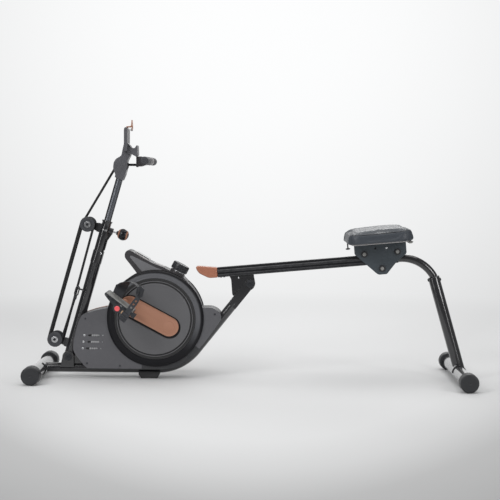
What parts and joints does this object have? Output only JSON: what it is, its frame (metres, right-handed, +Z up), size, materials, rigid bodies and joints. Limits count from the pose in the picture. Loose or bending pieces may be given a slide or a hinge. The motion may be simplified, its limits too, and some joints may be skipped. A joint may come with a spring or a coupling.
{
  "type": "magnetic rowing machine",
  "caption": "Rower with a tall rope mast and pull bar, a magnetic flywheel casing with strapped pedals, a sloping rail with a rolling seat, and floor stabilisers.",
  "frame": {"origin": "on the floor under the middle of the machine's bounding box", "axes": "+X from the mast to the seat, +Y to the far side, +Z up"},
  "size_m": [1.6, 0.572, 0.9435],
  "materials": {
    "gloss_black_paint": "gloss black powder coat",
    "casing_plastic": "fine textured charcoal moulding",
    "black_plastic": "satin black moulding",
    "copper_plastic": "satin copper coloured moulding",
    "bright_steel": "zinc plated and satin",
    "black_rubber": "matt black rubber",
    "elastic_cord": "braided black sheath",
    "cast_iron": "turned iron",
    "black_aluminium": "black anodised extrusion",
    "seat_vinyl": "grained black vinyl"
  },
  "bodies": {
    "base": {"front_stabiliser": "gloss_black_paint", "front_cap_near": "black_plastic", "front_cap_far": "black_plastic", "base_tube": "gloss_black_paint", "mid_foot": "black_rubber", "mast_foot_bolt": "bright_steel", "fold_bolt": "bright_steel", "core_plate": "gloss_black_paint", "casing_near": "casing_plastic", "casing_far": "casing_plastic", "console_pod": "casing_plastic", "tension_cable": "elastic_cord", "mast_post": "gloss_black_paint", "mast_sleeve": "gloss_black_paint", "lower_pulley_bracket": "bright_steel", "upper_pulley_bracket": "bright_steel", "elastic_rope": "elastic_cord", "rope_hook": "bright_steel", "drive_belt": "black_rubber"},
    "crank": {"crank_axle": "bright_steel", "crank_disc_near": "casing_plastic", "crank_disc_far": "casing_plastic", "crank_arm_near": "copper_plastic", "crank_arm_far": "copper_plastic", "crank_pulley": "black_plastic"},
    "pedal_near": {"pedal_near": "black_plastic", "pedal_strap_near": "black_rubber"},
    "pedal_far": {"pedal_far": "black_plastic", "pedal_strap_far": "black_rubber"},
    "flywheel": {"flywheel": "cast_iron"},
    "magnet": {"magnet_bracket": "bright_steel"},
    "tension": {"tension_knob": "black_plastic"},
    "button": {"console_button": "black_plastic"},
    "lower_near": {"lower_pulley_near": "black_plastic"},
    "lower_far": {"lower_pulley_far": "black_plastic"},
    "upper_near": {"upper_pulley_near": "black_plastic"},
    "upper_far": {"upper_pulley_far": "black_plastic"},
    "head": {"mast_inner_tube": "bright_steel", "head_housing": "casing_plastic", "head_strand": "elastic_cord"},
    "head_wheel": {"head_pulley": "black_plastic"},
    "clip": {"phone_clip": "copper_plastic"},
    "lock": {"mast_lock_knob": "black_plastic"},
    "handle": {"pull_bar": "bright_steel", "grip_near": "black_rubber", "grip_far": "black_rubber", "pull_strand": "elastic_cord"},
    "rail": {"seat_rail": "black_aluminium", "rail_nose": "copper_plastic", "fold_bracket": "gloss_black_paint", "rear_leg_upper": "gloss_black_paint", "rear_leg_lower": "gloss_black_paint", "rear_stabiliser": "gloss_black_paint", "rear_cap_near": "black_plastic", "rear_cap_far": "black_plastic"},
    "seat": {"seat_cushion": "seat_vinyl", "seat_carriage": "gloss_black_paint"},
    "wheel_front": {"roller_front": "black_plastic"},
    "wheel_rear": {"roller_rear": "black_plastic"},
    "wheel_lower": {"roller_lower": "black_plastic"}
  },
  "joints": [
    {"name": "crank_spin", "type": "hinge", "parent": "base", "child": "crank", "pos_m": [-0.3411, 0, 0.2228], "axis": [0, 1, 0], "continuous": true},
    {"name": "pedal_near_spin", "type": "hinge", "parent": "crank", "child": "pedal_near", "pos_m": [-0.45147, 0, 0.28148], "axis": [0, 1, 0], "continuous": true},
    {"name": "pedal_far_spin", "type": "hinge", "parent": "crank", "child": "pedal_far", "pos_m": [-0.23073, 0, 0.16412], "axis": [0, 1, 0], "continuous": true},
    {"name": "flywheel_spin", "type": "hinge", "parent": "base", "child": "flywheel", "pos_m": [-0.52, 0, 0.147], "axis": [0, 1, 0], "continuous": true},
    {"name": "tension_turn", "type": "hinge", "parent": "base", "child": "tension", "pos_m": [-0.2596, 0, 0.3955], "axis": [0.4695, 0, 0.8829], "range_deg": [-300, 0]},
    {"name": "magnet_swing", "type": "hinge", "parent": "base", "child": "magnet", "pos_m": [-0.442, 0, 0.228], "axis": [0, 1, 0], "range_deg": [-1.6, 0.1]},
    {"name": "button_press", "type": "slide", "parent": "base", "child": "button", "axis": [-0.354, 0, -0.9353], "range_m": [0, 0.002], "stiffness_N_per_m": 300},
    {"name": "mast_height", "type": "slide", "parent": "base", "child": "head", "axis": [0.2731, 0, 0.962], "range_m": [-0.09, 0.06], "deforming": ["head_strand"]},
    {"name": "lock_pull", "type": "slide", "parent": "base", "child": "lock", "axis": [0.962, 0, -0.2731], "range_m": [0, 0.01], "stiffness_N_per_m": 800, "springref_m": -0.004},
    {"name": "clip_slide", "type": "slide", "parent": "head", "child": "clip", "axis": [0, 0, 1], "range_m": [0, 0.035], "stiffness_N_per_m": 60, "springref_m": -0.02},
    {"name": "handle_pull", "type": "slide", "parent": "head", "child": "handle", "axis": [1, 0, 0], "range_m": [0, 0.75], "stiffness_N_per_m": 60, "springref_m": -0.3, "deforming": ["pull_strand"]},
    {"name": "head_wheel_spin", "type": "hinge", "parent": "head", "child": "head_wheel", "pos_m": [-0.4785, 0, 0.7674], "axis": [0, 1, 0], "range_deg": [0, 3200]},
    {"name": "upper_far_spin", "type": "hinge", "parent": "base", "child": "upper_far", "pos_m": [-0.59111, 0, 0.56257], "axis": [0, 1, 0], "range_deg": [0, 1540]},
    {"name": "lower_far_spin", "type": "hinge", "parent": "base", "child": "lower_far", "pos_m": [-0.71098, 0, 0.14036], "axis": [0, 1, 0], "range_deg": [0, 1110]},
    {"name": "upper_near_spin", "type": "hinge", "parent": "base", "child": "upper_near", "pos_m": [-0.59111, 0, 0.56257], "axis": [0, 1, 0], "range_deg": [0, 650]},
    {"name": "lower_near_spin", "type": "hinge", "parent": "base", "child": "lower_near", "pos_m": [-0.71098, 0, 0.14036], "axis": [0, 1, 0], "range_deg": [0, 195]},
    {"name": "rail_fold", "type": "hinge", "parent": "base", "child": "rail", "pos_m": [0.0027, 0, 0.3505], "axis": [0, -1, 0], "range_deg": [0, 20]},
    {"name": "seat_slide", "type": "slide", "parent": "rail", "child": "seat", "axis": [0.9959, 0, 0.0901], "range_m": [-0.38, 0]},
    {"name": "wheel_front_spin", "type": "hinge", "parent": "seat", "child": "wheel_front", "pos_m": [0.41717, 0, 0.4617], "axis": [0, 1, 0], "range_deg": [-1690, 5]},
    {"name": "wheel_rear_spin", "type": "hinge", "parent": "seat", "child": "wheel_rear", "pos_m": [0.53708, 0, 0.47255], "axis": [0, 1, 0], "range_deg": [-1690, 5]},
    {"name": "wheel_lower_spin", "type": "hinge", "parent": "seat", "child": "wheel_lower", "pos_m": [0.48274, 0, 0.4106], "axis": [0, 1, 0], "range_deg": [-5, 1420]}
  ],
  "couplings": [
    {"joint": "flywheel_spin", "follows": "crank_spin", "ratio": 6.52},
    {"joint": "magnet_swing", "follows": "tension_turn", "ratio": 0.005},
    {"joint": "head_wheel_spin", "follows": "handle_pull", "rad_per_m": 74.03},
    {"joint": "upper_far_spin", "follows": "handle_pull", "rad_per_m": 35.55},
    {"joint": "lower_far_spin", "follows": "handle_pull", "rad_per_m": 25.64},
    {"joint": "upper_near_spin", "follows": "handle_pull", "rad_per_m": 14.98},
    {"joint": "lower_near_spin", "follows": "handle_pull", "rad_per_m": 4.39},
    {"joint": "wheel_front_spin", "follows": "seat_slide", "rad_per_m": 76.92},
    {"joint": "wheel_rear_spin", "follows": "seat_slide", "rad_per_m": 76.92},
    {"joint": "wheel_lower_spin", "follows": "seat_slide", "rad_per_m": -64.52}
  ]
}
